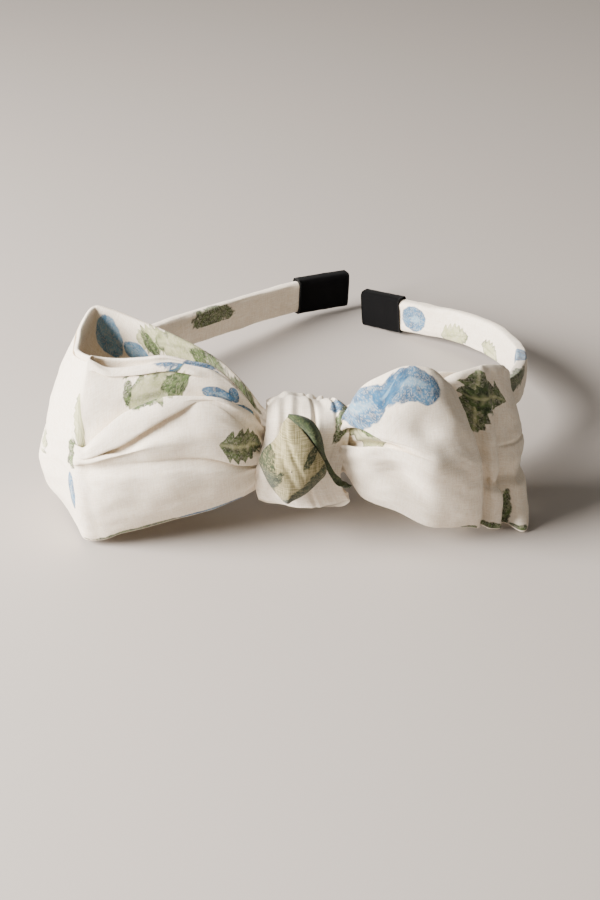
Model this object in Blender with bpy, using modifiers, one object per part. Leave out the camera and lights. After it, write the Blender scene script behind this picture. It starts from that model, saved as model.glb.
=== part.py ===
"""Headband with a knotted bow: a springy plastic hoop in a cloth sleeve, with
velvet caps on its tips and a two-loop bow tied to its crown by a knotted strip.

The hoop lies nearly flat.  +Z is up, the bow faces -Y and the tips point to +Y.
The bow's lower edges and the right tip touch the surface at Z = 0, and the
origin is on that surface, under the middle of the whole object.
"""
import math

import bmesh
import bpy
from mathutils import Vector

# ---- driving dimensions, in metres ----------------------------------------
MM = 0.001
KNOT_TO_MIDDLE_X = 0.5 * MM    # middle of the object, seen from the knot
KNOT_TO_MIDDLE_Y = 58.0 * MM

CROWN_HEIGHT = 20.5 * MM      # centre of the band above the surface, at the knot
CROWN_DEPTH = 10.5 * MM       # the band runs this far behind the knot's middle
CROWN_SLOPE = 0.135           # the band falls this much per metre towards the tips
ARM_START = 40.0 * MM         # depth at which each arm takes its own slope
LEFT_SLOPE = 0.095
RIGHT_SLOPE = 0.135

CORE_WIDTH = 8.6 * MM
CORE_THICK = 1.6 * MM
SLEEVE_WIDTH = 10.4 * MM
SLEEVE_THICK = 3.4 * MM
SLEEVE_WALL = 0.6 * MM
CAP_WALL = 0.4 * MM
CAP_END_WALL = 1.0 * MM
LEFT_CAP_LENGTH = 19.0 * MM
RIGHT_CAP_LENGTH = 15.5 * MM
FIT_GAP = 0.3 * MM            # room between a piece and the one over it

FLEX_DEPTH = 38.0 * MM        # the two flex lines cross the band at this depth
FLEX_GAP = 2.0 * MM           # gap between crown and arm at a flex line
BAND_STEP = 5.0 * MM          # spacing of the sections along the band

LOOP_WALL = 1.4 * MM          # doubled cloth
LOOP_STATIONS = 26
LOOP_LEVELS = 7

KNOT_WIDTH = 17.0 * MM        # along the band
KNOT_WALL = 1.6 * MM
THREAD_RADIUS = 0.35 * MM
THREAD_TURNS = 3
THREAD_PITCH = 0.95 * MM

# The band's middle line in plan, from the left tip to the right tip.
BAND_PLAN = [
    (15.0, 129.0), (-1.8, 120.0), (-14.5, 108.8), (-27.0, 96.5), (-39.5, 84.0),
    (-49.0, 71.5), (-55.0, 58.0), (-56.5, 44.5), (-50.0, 30.5), (-36.0, 18.5),
    (-18.0, 12.3), (0.0, 10.5), (17.5, 11.8), (35.0, 17.5), (49.5, 28.5),
    (59.5, 43.0), (63.4, 59.0), (61.8, 74.0), (57.0, 87.5), (48.5, 98.5),
    (36.0, 107.5), (21.3, 118.6),
]

# Stations of a loop, from its front waist round its open end to its back waist:
# foot x, y, z, then head x, y, z, then how far the cloth bellies out between.
LEFT_LOOP = [
    (-0.5, -2.3, 15.0, -0.5, -2.1, 27.0, 0.0),
    (-8.5, -3.6, 14.0, -8.5, -3.2, 28.0, 0.2),
    (-17.0, -9.5, 9.0, -17.0, -6.5, 41.0, 2.5),
    (-31.0, -12.5, 5.8, -31.0, -8.0, 49.5, 3.5),
    (-46.0, -13.5, 2.6, -44.0, -7.5, 50.5, 2.5),
    (-54.5, -12.0, 1.0, -52.0, -5.5, 49.5, 1.5),
    (-59.5, -3.5, 1.2, -55.0, 1.5, 47.5, 2.0),
    (-62.5, 8.0, 2.0, -55.5, 9.5, 48.0, 3.0),
    (-61.5, 20.0, 3.0, -51.5, 19.5, 50.0, 2.0),
    (-50.0, 17.5, 4.0, -43.0, 16.0, 48.0, 0.0),
    (-35.0, 10.8, 6.0, -32.0, 12.0, 43.5, 0.0),
    (-20.0, 7.4, 9.0, -20.0, 8.0, 37.5, 0.0),
    (-8.5, 6.0, 14.0, -8.5, 6.0, 28.0, 0.0),
    (-0.5, 5.2, 15.0, -0.5, 5.2, 27.0, 0.0),
]
RIGHT_LOOP = [
    (0.5, -2.3, 15.0, 0.5, -2.1, 27.0, 0.0),
    (8.5, -3.6, 14.0, 8.5, -3.2, 28.0, 0.2),
    (16.0, -9.0, 12.5, 16.0, -6.5, 41.0, 3.0),
    (26.0, -12.0, 9.5, 26.0, -5.5, 47.5, 5.0),
    (37.5, -12.0, 5.0, 34.5, -4.5, 47.0, 4.0),
    (45.5, -8.5, 1.6, 39.0, -3.5, 45.0, 1.5),
    (52.0, -5.5, 1.2, 47.0, 1.0, 44.0, 0.5),
    (57.5, -3.5, 1.0, 54.0, 6.5, 42.5, 0.5),
    (57.0, 7.0, 1.5, 54.5, 13.5, 41.5, 1.5),
    (49.5, 15.0, 3.0, 47.0, 15.5, 41.5, 0.0),
    (35.0, 10.8, 6.0, 33.0, 12.0, 39.5, 0.0),
    (20.0, 7.4, 10.0, 20.0, 8.0, 35.0, 0.0),
    (8.5, 6.0, 14.0, 8.5, 6.0, 28.0, 0.0),
    (0.5, 5.2, 15.0, 0.5, 5.2, 27.0, 0.0),
]

# Materials: colour, roughness, metallic
FINISHES = {
    "clear_plastic": ((0.78, 0.76, 0.72), 0.35, 0.0),
    "printed_cloth": ((0.80, 0.74, 0.66), 0.85, 0.0),
    "bow_cloth": ((0.84, 0.79, 0.71), 0.85, 0.0),
    "knot_cloth": ((0.52, 0.52, 0.36), 0.85, 0.0),
    "black_velvet": ((0.010, 0.010, 0.012), 0.95, 0.0),
    "thread": ((0.85, 0.82, 0.76), 0.7, 0.0),
    "hot_glue": ((0.75, 0.72, 0.64), 0.3, 0.0),
}


# ---- helpers ----------------------------------------------------------------
def clear_scene():
    for obj in list(bpy.data.objects):
        bpy.data.objects.remove(obj, do_unlink=True)
    for collection in list(bpy.data.collections):
        bpy.data.collections.remove(collection)


def new_collection(name):
    collection = bpy.data.collections.new(name)
    bpy.context.scene.collection.children.link(collection)
    return collection


def finish(name):
    """The named Principled material, made once."""
    material = bpy.data.materials.get(name)
    if material is None:
        colour, roughness, metallic = FINISHES[name]
        material = bpy.data.materials.new(name)
        material.use_nodes = True
        shader = material.node_tree.nodes["Principled BSDF"]
        shader.inputs["Base Color"].default_value = (*colour, 1.0)
        shader.inputs["Roughness"].default_value = roughness
        shader.inputs["Metallic"].default_value = metallic
        material.diffuse_color = (*colour, 1.0)
    return material


def at(x, y, z):
    """A point given in millimetres from the knot's foot, in the part's frame."""
    return Vector((x * MM - KNOT_TO_MIDDLE_X, y * MM - KNOT_TO_MIDDLE_Y, z * MM))


def smooth_through(points, step):
    """A smooth line through the points, resampled at an even spacing."""
    padded = [2 * points[0] - points[1], *points, 2 * points[-1] - points[-2]]
    fine = []
    for a, b, c, d in zip(padded, padded[1:], padded[2:], padded[3:]):
        for k in range(16):
            t = k / 16
            fine.append(
                0.5 * (2 * b + (c - a) * t + (2 * a - 5 * b + 4 * c - d) * t * t
                       + (3 * b - a - 3 * c + d) * t ** 3)
            )
    fine.append(points[-1])
    return fine, resample(fine, max(2, round(length_of(fine) / step)))


def length_of(line):
    return sum((b - a).length for a, b in zip(line, line[1:]))


def resample(line, pieces):
    """The line as so many equal pieces."""
    whole = length_of(line)
    result = []
    for k in range(pieces + 1):
        result.append(point_along(line, whole * k / pieces))
    return result


def point_along(line, distance):
    gone = 0.0
    for a, b in zip(line, line[1:]):
        run = (b - a).length
        if gone + run >= distance and run > 0:
            return a.lerp(b, (distance - gone) / run)
        gone += run
    return line[-1].copy()


def stretch(line, start, end, step=BAND_STEP):
    """The part of the line between two distances, in even steps."""
    pieces = max(1, round((end - start) / step))
    return [point_along(line, start + (end - start) * k / pieces) for k in range(pieces + 1)]


def rounded_outline(name, width, height, radius, sides=3):
    """A closed flat outline, its height along local Y, used as a sweep's section."""
    data = bpy.data.curves.new(name, "CURVE")
    data.dimensions = "2D"
    spline = data.splines.new("POLY")
    corners = []
    for quarter in range(4):
        middle = (
            (width / 2 - radius) * (1 if quarter in (0, 3) else -1),
            (height / 2 - radius) * (1 if quarter in (0, 1) else -1),
        )
        for k in range(sides + 1):
            angle = math.pi / 2 * (quarter + k / sides)
            corners.append((middle[0] + radius * math.cos(angle), middle[1] + radius * math.sin(angle)))
    spline.points.add(len(corners) - 1)
    for point, (x, y) in zip(spline.points, corners):
        point.co = (x, y, 0.0, 1.0)
    spline.use_cyclic_u = True
    obj = bpy.data.objects.new(name, data)
    guides.objects.link(obj)
    obj.hide_render = True
    obj.display_type = "WIRE"
    return obj


def to_mesh(curve_object, name, collection):
    """The curve object's surface as a welded mesh object; the curve is removed."""
    depsgraph = bpy.context.evaluated_depsgraph_get()
    mesh = bpy.data.meshes.new_from_object(curve_object.evaluated_get(depsgraph))
    mesh.name = name
    bm = bmesh.new()
    bm.from_mesh(mesh)
    bmesh.ops.remove_doubles(bm, verts=bm.verts, dist=0.00001)
    bmesh.ops.recalc_face_normals(bm, faces=bm.faces)
    bm.to_mesh(mesh)
    bm.free()
    obj = bpy.data.objects.new(name, mesh)
    obj.matrix_world = curve_object.matrix_world
    collection.objects.link(obj)
    bpy.data.objects.remove(curve_object, do_unlink=True)
    return obj


def swept(name, line, section, collection):
    """A solid of the section's outline, swept upright along the line."""
    data = bpy.data.curves.new(name + "_path", "CURVE")
    data.dimensions = "3D"
    data.twist_mode = "Z_UP"
    data.bevel_mode = "OBJECT"
    data.bevel_object = section
    data.use_fill_caps = True
    spline = data.splines.new("POLY")
    spline.points.add(len(line) - 1)
    for point, place in zip(spline.points, line):
        point.co = (*place, 1.0)
    path = bpy.data.objects.new(name + "_path", data)
    guides.objects.link(path)
    return to_mesh(path, name, collection)


def cut(obj, cutter, operation="DIFFERENCE"):
    """Applies an exact Boolean of the cutter to the object, then hides the cutter."""
    modifier = obj.modifiers.new(cutter.name, "BOOLEAN")
    modifier.operation = operation
    modifier.solver = "EXACT"
    modifier.object = cutter
    cutter.hide_render = True
    cutter.display_type = "WIRE"


def dress(obj, finish_name, smooth_angle=40):
    obj.data.materials.clear()
    obj.data.materials.append(finish(finish_name))
    obj.data.shade_smooth()
    obj.data.set_sharp_from_angle(angle=math.radians(smooth_angle))
    return obj


def hinge_empty(name, place):
    empty = bpy.data.objects.new(name, None)
    empty.empty_display_size = 0.01
    empty.location = place
    parts.objects.link(empty)
    return empty


def hang(obj, empty):
    """Parents the object to the empty on its joint's axis, without moving it."""
    obj.parent = empty
    obj.matrix_parent_inverse = empty.matrix_world.inverted()


# ---- the hoop ----------------------------------------------------------------
def band_height(x, y):
    """Height of the band's middle line over the surface."""
    start = CROWN_HEIGHT - CROWN_SLOPE * (ARM_START - CROWN_DEPTH)
    if y < ARM_START:
        return CROWN_HEIGHT - CROWN_SLOPE * (y - CROWN_DEPTH)
    slope = LEFT_SLOPE if x < 0 else RIGHT_SLOPE
    return start - slope * (y - ARM_START)


def band_line():
    """The band's middle line, finely sampled, from the left tip to the right tip."""
    points = []
    for index, (x, y) in enumerate(BAND_PLAN):
        side = -1 if index < len(BAND_PLAN) / 2 else 1
        points.append(at(x, y, band_height(side, y * MM) / MM))
    fine, _ = smooth_through(points, BAND_STEP)
    return fine


def flex_distance(line, side):
    """Distance along the line at which it crosses a flex line."""
    depth = FLEX_DEPTH - KNOT_TO_MIDDLE_Y
    gone = 0.0
    for a, b in zip(line, line[1:]):
        run = (b - a).length
        crosses = (a.y - depth) * (b.y - depth) <= 0
        if crosses and (a.x > 0) == (side > 0):
            return gone + run * (depth - a.y) / (b.y - a.y)
        gone += run
    raise ValueError("the band never crosses its flex line")


def build_core(line, spans):
    section = rounded_outline("core_section", CORE_THICK, CORE_WIDTH, 0.5 * MM, sides=1)
    made = {}
    for place, (start, end) in spans.items():
        made[place] = dress(swept("core_" + place, stretch(line, start, end), section, parts), "clear_plastic")
    return made


def build_sleeve(line, spans):
    outer = rounded_outline("sleeve_section", SLEEVE_THICK, SLEEVE_WIDTH, 1.5 * MM, sides=2)
    inner = rounded_outline(
        "sleeve_hollow", SLEEVE_THICK - 2 * SLEEVE_WALL, SLEEVE_WIDTH - 2 * SLEEVE_WALL, 0.4 * MM, sides=1)
    made = {}
    for place, (start, end) in spans.items():
        sleeve = swept("sleeve_" + place, stretch(line, start, end), outer, parts)
        points = stretch(line, start, end)
        points[0] = points[0] + (points[0] - points[1]) * 0.5
        points[-1] = points[-1] + (points[-1] - points[-2]) * 0.5
        cut(sleeve, swept("hollow_" + place, points, inner, cutters))
        made[place] = dress(sleeve, "printed_cloth")
    return made


def build_cap(name, line, start, end, tip_at_end):
    """A velvet pocket over a tip of the band, closed beyond the tip."""
    room = FIT_GAP
    inner = rounded_outline(
        name + "_pocket", SLEEVE_THICK + 2 * room, SLEEVE_WIDTH + 2 * room, 1.7 * MM, sides=2)
    outer = rounded_outline(
        name + "_section", SLEEVE_THICK + 2 * room + 2 * CAP_WALL,
        SLEEVE_WIDTH + 2 * room + 2 * CAP_WALL, 2.0 * MM, sides=2)
    cap = swept(name, stretch(line, start, end, 3.2 * MM), outer, parts)
    points = stretch(line, start, end, 3.2 * MM)
    if tip_at_end:
        points[0] = points[0] + (points[0] - points[1]) * 0.5
        points[-1] = points[-1] + (points[-2] - points[-1]).normalized() * CAP_END_WALL
    else:
        points[-1] = points[-1] + (points[-1] - points[-2]) * 0.5
        points[0] = points[0] + (points[1] - points[0]).normalized() * CAP_END_WALL
    cut(cap, swept(name + "_hollow", points, inner, cutters))
    return dress(cap, "black_velvet")


# ---- the bow -------------------------------------------------------------------
def loop_surface(stations):
    """Rows of points up a loop's cloth, one row for each place along it."""
    feet, heads, bellies = [], [], []
    for x, y, z, head_x, head_y, head_z, belly in stations:
        feet.append(at(x, y, z))
        heads.append(at(head_x, head_y, head_z))
        bellies.append(Vector((belly * MM, 0.0, 0.0)))
    count = 6 * len(stations)
    feet = resample(smooth_through(feet, MM)[0], count)
    heads = resample(smooth_through(heads, MM)[0], count)
    bellies = smooth_values([b.x for b in bellies], count)
    return feet, heads, bellies


def smooth_values(values, count):
    result = []
    for k in range(count + 1):
        place = k / count * (len(values) - 1)
        index = min(int(place), len(values) - 2)
        t = place - index
        t = t * t * (3 - 2 * t)
        result.append(values[index] * (1 - t) + values[index + 1] * t)
    return result


def build_loop(name, stations, outward):
    """One loop of the bow: a doubled strip, open above and below."""
    feet, heads, bellies = loop_surface(stations)
    count = len(feet) - 1
    picks = [round(k * count / LOOP_STATIONS) for k in range(LOOP_STATIONS + 1)]
    bm = bmesh.new()
    rows = []
    for pick in picks:
        before = feet[max(0, pick - 1)]
        after = feet[min(count, pick + 1)]
        along = (after - before).normalized()
        normal = Vector((along.y, -along.x, 0.0)) * outward
        row = []
        for level in range(LOOP_LEVELS + 1):
            t = level / LOOP_LEVELS
            place = feet[pick].lerp(heads[pick], t) + normal * bellies[pick] * 4 * t * (1 - t)
            row.append(bm.verts.new(place))
        rows.append(row)
    for low, high in zip(rows, rows[1:]):
        for level in range(LOOP_LEVELS):
            bm.faces.new((low[level], high[level], high[level + 1], low[level + 1]))
    bmesh.ops.recalc_face_normals(bm, faces=bm.faces)
    mesh = bpy.data.meshes.new(name)
    bm.to_mesh(mesh)
    bm.free()
    obj = bpy.data.objects.new(name, mesh)
    parts.objects.link(obj)
    shell = obj.modifiers.new("doubled_cloth", "SOLIDIFY")
    shell.thickness = LOOP_WALL
    shell.offset = 0.0
    shell.use_even_offset = True
    return dress(obj, "bow_cloth")


def oval_slab(name, collection, low, high, half_width, radius):
    """A block along X whose outline in the YZ plane is a rounded rectangle."""
    width = (high[0] - low[0]) * MM
    height = (high[1] - low[1]) * MM
    section = rounded_outline(name + "_outline", width, height, radius, sides=4)
    middle = at(0, (low[0] + high[0]) / 2, (low[1] + high[1]) / 2)
    middle.x = 0.0 - KNOT_TO_MIDDLE_X
    ends = [middle + Vector((side * half_width, 0, 0)) for side in (-1, 1)]
    return swept(name, ends, section, collection)


def build_knot():
    """The tied strip: a sleeve round waist and band, with the knot on its front."""
    knot = oval_slab("knot_strip", parts, (-8.6, 10.0), (14.6, 32.5), KNOT_WIDTH / 2, 5.0 * MM)
    bm = bmesh.new()
    bmesh.ops.create_uvsphere(bm, u_segments=20, v_segments=12, radius=1.0)
    mesh = bpy.data.meshes.new("knot_front")
    bm.to_mesh(mesh)
    bm.free()
    front = bpy.data.objects.new("knot_front", mesh)
    cutters.objects.link(front)
    for vertex in mesh.vertices:
        vertex.co = Vector((vertex.co.x * 11.0, vertex.co.y * 6.0, vertex.co.z * 12.3)) * MM
    front.location = at(0.2, -9.5, 21.6)
    cut(knot, front, "UNION")
    room = oval_slab("knot_room", cutters, (-5.4, 12.2), (12.9, 29.9), KNOT_WIDTH, 2.0 * MM)
    cut(knot, room)
    return dress(knot, "knot_cloth", 50)


def build_thread():
    """Three turns of gathering thread round the bow's waist."""
    data = bpy.data.curves.new("waist_thread_path", "CURVE")
    data.dimensions = "3D"
    data.bevel_depth = THREAD_RADIUS
    data.bevel_resolution = 1
    data.use_fill_caps = True
    spline = data.splines.new("POLY")
    per_turn = 20
    count = THREAD_TURNS * per_turn
    spline.points.add(count)
    for k, point in enumerate(spline.points):
        angle = 2 * math.pi * k / per_turn
        # a superellipse hugs the flat, tall waist closely
        across = math.copysign(abs(math.cos(angle)) ** 0.35, math.cos(angle))
        up = math.copysign(abs(math.sin(angle)) ** 0.35, math.sin(angle))
        run = (k / count - 0.5) * THREAD_TURNS * THREAD_PITCH
        place = at(0, 1.45 + 5.5 * across, 21.0 + 7.9 * up)
        point.co = (place.x + run, place.y, place.z, 1.0)
    path = bpy.data.objects.new("waist_thread_path", data)
    guides.objects.link(path)
    return dress(to_mesh(path, "waist_thread", parts), "thread")


def build_glue():
    """The dab of hot glue between the bow's waist and the band."""
    bm = bmesh.new()
    bmesh.ops.create_cube(bm, size=1.0)
    bmesh.ops.scale(bm, vec=(9.0 * MM, 0.9 * MM, 8.0 * MM), verts=bm.verts)
    bmesh.ops.bevel(
        bm, geom=bm.edges, offset=0.3 * MM, segments=2, profile=0.5, affect="EDGES")
    mesh = bpy.data.meshes.new("glue_dab")
    bm.to_mesh(mesh)
    bm.free()
    dab = bpy.data.objects.new("glue_dab", mesh)
    dab.location = at(0.0, 8.05, 20.8)
    parts.objects.link(dab)
    return dress(dab, "hot_glue")


# ---- build --------------------------------------------------------------------
clear_scene()
parts = new_collection("headband")
cutters = new_collection("cutters")
guides = new_collection("guides")

band = band_line()
whole = length_of(band)
left_flex = flex_distance(band, -1)
right_flex = flex_distance(band, 1)
half_gap = FLEX_GAP / 2
core_inset = CAP_END_WALL + 2 * FIT_GAP
sleeve_inset = CAP_END_WALL + FIT_GAP

cores = build_core(band, {
    "left": (core_inset, left_flex - half_gap),
    "crown": (left_flex + half_gap, right_flex - half_gap),
    "right": (right_flex + half_gap, whole - core_inset),
})
sleeves = build_sleeve(band, {
    "left": (sleeve_inset, left_flex - half_gap),
    "crown": (left_flex + half_gap, right_flex - half_gap),
    "right": (right_flex + half_gap, whole - sleeve_inset),
})
cap_left = build_cap("cap_left", band, 0.0, LEFT_CAP_LENGTH, tip_at_end=False)
cap_right = build_cap("cap_right", band, whole - RIGHT_CAP_LENGTH, whole, tip_at_end=True)

left_hinge = hinge_empty("left_flex_axis", point_along(band, left_flex))
right_hinge = hinge_empty("right_flex_axis", point_along(band, right_flex))
bpy.context.view_layer.update()
for piece in (cores["left"], sleeves["left"], cap_left):
    hang(piece, left_hinge)
for piece in (cores["right"], sleeves["right"], cap_right):
    hang(piece, right_hinge)

build_loop("bow_left_loop", LEFT_LOOP, -1)
build_loop("bow_right_loop", RIGHT_LOOP, 1)
build_knot()
build_thread()
build_glue()
for guide in list(guides.objects):
    bpy.data.objects.remove(guide, do_unlink=True)

print("band length %.1f mm" % (whole / MM))
print("left flex axis", [round(v, 5) for v in point_along(band, left_flex)])
print("right flex axis", [round(v, 5) for v in point_along(band, right_flex)])
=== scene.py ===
# %% [markdown]
# # Headband with a knotted bow
# A springy plastic hoop in a cloth sleeve, velvet caps on its tips, and a soft bow of
# printed cotton and linen tied to its crown.  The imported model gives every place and
# size.  This script gives the looks: cloth that folds, pleats and wrinkles, the printed
# leaves and flowers, and the weave.

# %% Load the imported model
import math

import bpy
import numpy as np
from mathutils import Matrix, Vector, noise


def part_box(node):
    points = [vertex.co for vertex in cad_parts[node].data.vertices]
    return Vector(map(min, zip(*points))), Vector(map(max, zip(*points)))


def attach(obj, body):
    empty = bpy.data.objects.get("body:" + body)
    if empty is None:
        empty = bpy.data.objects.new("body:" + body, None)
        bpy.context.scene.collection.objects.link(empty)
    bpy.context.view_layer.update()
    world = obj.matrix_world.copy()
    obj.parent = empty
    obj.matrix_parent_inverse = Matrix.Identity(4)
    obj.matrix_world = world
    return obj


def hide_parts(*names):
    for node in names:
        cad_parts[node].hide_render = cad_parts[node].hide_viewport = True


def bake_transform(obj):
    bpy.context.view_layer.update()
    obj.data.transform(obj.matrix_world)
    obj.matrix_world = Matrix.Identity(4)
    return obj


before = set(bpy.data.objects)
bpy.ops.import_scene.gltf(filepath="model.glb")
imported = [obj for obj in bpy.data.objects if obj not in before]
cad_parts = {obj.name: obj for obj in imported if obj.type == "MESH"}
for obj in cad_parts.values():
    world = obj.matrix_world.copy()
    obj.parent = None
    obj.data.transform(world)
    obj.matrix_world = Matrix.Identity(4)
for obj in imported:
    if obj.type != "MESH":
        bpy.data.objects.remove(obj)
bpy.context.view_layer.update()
MM = 0.001

# %% [markdown]
# The bow is laid out in millimetres from the knot's foot, the point on the table under
# the knot.  The knot strip's box gives that point: its back stands 14.6 mm behind it.

# %% The knot's foot
knot_low, knot_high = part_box("knot_strip")
KNOT_BACK = 14.6
FOOT = np.array([(knot_low.x + knot_high.x) / 2 / MM - 0.2, knot_high.y / MM - KNOT_BACK, 0.0])
KNOT_HEIGHT = 20.5


def placed(points):
    """Millimetres from the knot's foot, as metres in the frame."""
    return (np.asarray(points, float) + FOOT) * MM


print("knot's foot", FOOT.round(2))

# %% [markdown]
# ## Camera, table and light
# The camera looks down on the bow at 30 degrees from its front, through a 59 mm lens.
# The table is one wide pale sheet.  A soft window light stands close by at the left, so
# the table darkens to the right, and a weak warm fill comes from the room.

# %% Camera
CAMERA_TILT = math.radians(30)
CAMERA_DISTANCE = 0.372
camera_data = bpy.data.cameras.new("camera")
camera_data.lens = 59.2
camera_data.sensor_width = 36.0
camera_data.clip_start = 0.01
camera = bpy.data.objects.new("camera", camera_data)
bpy.context.scene.collection.objects.link(camera)
target = Vector(placed([0.0, 0.0, KNOT_HEIGHT]))
camera.location = target + Vector(
    (0, -math.cos(CAMERA_TILT), math.sin(CAMERA_TILT))) * CAMERA_DISTANCE
camera.rotation_euler = (math.radians(90) - CAMERA_TILT, 0, 0)
bpy.context.scene.camera = camera
print("camera", [round(c, 3) for c in camera.location])

# %% Table
bpy.ops.mesh.primitive_plane_add(size=8.0, location=(0, 2.0, 0))
table = bpy.context.object
table.name = "table"
table_material = bpy.data.materials.new("pale_table")
table_material.use_nodes = True
table_shader = table_material.node_tree.nodes["Principled BSDF"]
table_shader.inputs["Base Color"].default_value = (0.40, 0.365, 0.335, 1)
table_shader.inputs["Roughness"].default_value = 0.75
table.data.materials.append(table_material)

# %% Light


def area_light(name, place, aim, size, power, colour):
    data = bpy.data.lights.new(name, "AREA")
    data.shape = "DISK"
    data.size = size
    data.energy = power
    data.color = colour
    lamp = bpy.data.objects.new(name, data)
    bpy.context.scene.collection.objects.link(lamp)
    lamp.location = place
    lamp.rotation_euler = (Vector(aim) - Vector(place)).to_track_quat("-Z", "Y").to_euler()
    return lamp


area_light("window", (-0.66, -0.24, 0.35), (0, -0.02, 0.02), 0.50, 40.0, (1.0, 0.95, 0.905))
area_light("wall_bounce", (-0.5, 0.9, 0.8), (0, 0, 0.02), 0.9, 2.5, (1.0, 0.95, 0.88))
world = bpy.data.worlds.new("room")
bpy.context.scene.world = world
world.use_nodes = True
sky = world.node_tree.nodes["Background"]
sky.inputs["Color"].default_value = (1.0, 0.95, 0.87, 1)
sky.inputs["Strength"].default_value = 0.20

# %% [markdown]
# ## Finishes
# The cloth is a plain weave of cotton and linen with a hand-painted print.  Every cloth
# piece carries a map called `cloth`, whose numbers are millimetres along and across the
# piece, so the weave and the print keep their real size wherever the cloth bends.

# %% Small helpers for shader nodes


class Nodes:
    """Short calls that add a node to a tree and link what it takes."""

    def __init__(self, tree):
        self.tree = tree

    def add(self, kind, **settings):
        node = self.tree.nodes.new(kind)
        for key, value in settings.items():
            setattr(node, key, value)
        return node

    def link(self, value, socket):
        if isinstance(value, bpy.types.NodeSocket):
            self.tree.links.new(value, socket)
        else:
            socket.default_value = value

    def math(self, operation, *values, clamp=False):
        node = self.add("ShaderNodeMath", operation=operation, use_clamp=clamp)
        for value, socket in zip(values, node.inputs):
            self.link(value, socket)
        return node.outputs[0]

    def step(self, value, low, high):
        """0 below low, 1 above high, smooth between."""
        node = self.add("ShaderNodeMapRange", interpolation_type="SMOOTHSTEP")
        for number, socket in zip((value, low, high), node.inputs):
            self.link(number, socket)
        return node.outputs[0]

    def mix(self, factor, first, second, blend="MIX"):
        node = self.add("ShaderNodeMix", data_type="RGBA", blend_type=blend)
        for value, index in ((factor, 0), (first, 6), (second, 7)):
            self.link(value, node.inputs[index])
        return node.outputs[2]

    def noise(self, place, scale, detail=2.0, rough=0.5):
        node = self.add("ShaderNodeTexNoise")
        self.link(place, node.inputs["Vector"])
        node.inputs["Scale"].default_value = scale
        node.inputs["Detail"].default_value = detail
        node.inputs["Roughness"].default_value = rough
        return node.outputs["Fac"]

    def stretched(self, place, scale):
        node = self.add("ShaderNodeMapping")
        self.link(place, node.inputs["Vector"])
        node.inputs["Scale"].default_value = scale
        return node.outputs["Vector"]

    def distance(self, along, across):
        """How far a point lies from the middle."""
        squares = [self.math("MULTIPLY", value, value) for value in (along, across)]
        return self.math("SQRT", self.math("ADD", *squares))

    def split(self, place):
        node = self.add("ShaderNodeSeparateXYZ")
        self.link(place, node.inputs[0])
        return node.outputs[0], node.outputs[1]


def rgb(red, green, blue):
    """A screen colour from 0 to 255, as the shader's linear colour."""
    linear = [((c / 255 + 0.055) / 1.055) ** 2.4 if c > 10 else c / 3295
              for c in (red, green, blue)]
    return tuple(linear) + (1.0,)


# %% [markdown]
# A leaf and a petal are drawn by formula in their own little frame, from -1 to 1 along
# and across.  Each is a node group with two outputs: its ink colour, and a mask that
# says where the ink lies.  Noise wears the edges, as paint bleeds into cloth.

# %% Print motifs
SAGE = rgb(160, 163, 116)
PALE_SAGE = rgb(192, 190, 150)
LEAF_GREEN = rgb(84, 104, 58)
DARK_GREEN = rgb(42, 56, 32)
DEEPEST_GREEN = rgb(26, 36, 18)
PETAL_BLUE = rgb(56, 108, 144)
DEEP_BLUE = rgb(32, 72, 104)
PALE_BLUE = rgb(116, 154, 178)
# Painted light: a paler blue for the petals on the inside of the left loop's back, standing in for light
# shining through the thin cloth.
PAINTED_LIT_BLUE = rgb(118, 158, 184)


def motif_group(name):
    """An empty group that takes Place and Cloth, and gives Ink and Mask."""
    tree = bpy.data.node_groups.new(name, "ShaderNodeTree")
    tree.interface.new_socket("Place", in_out="INPUT", socket_type="NodeSocketVector")
    tree.interface.new_socket("Cloth", in_out="INPUT", socket_type="NodeSocketVector")
    tree.interface.new_socket("Ink", in_out="OUTPUT", socket_type="NodeSocketColor")
    tree.interface.new_socket("Mask", in_out="OUTPUT", socket_type="NodeSocketFloat")
    nodes = Nodes(tree)
    inputs = nodes.add("NodeGroupInput")
    outputs = nodes.add("NodeGroupOutput")
    return tree, nodes, inputs.outputs["Place"], inputs.outputs["Cloth"], outputs


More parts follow.
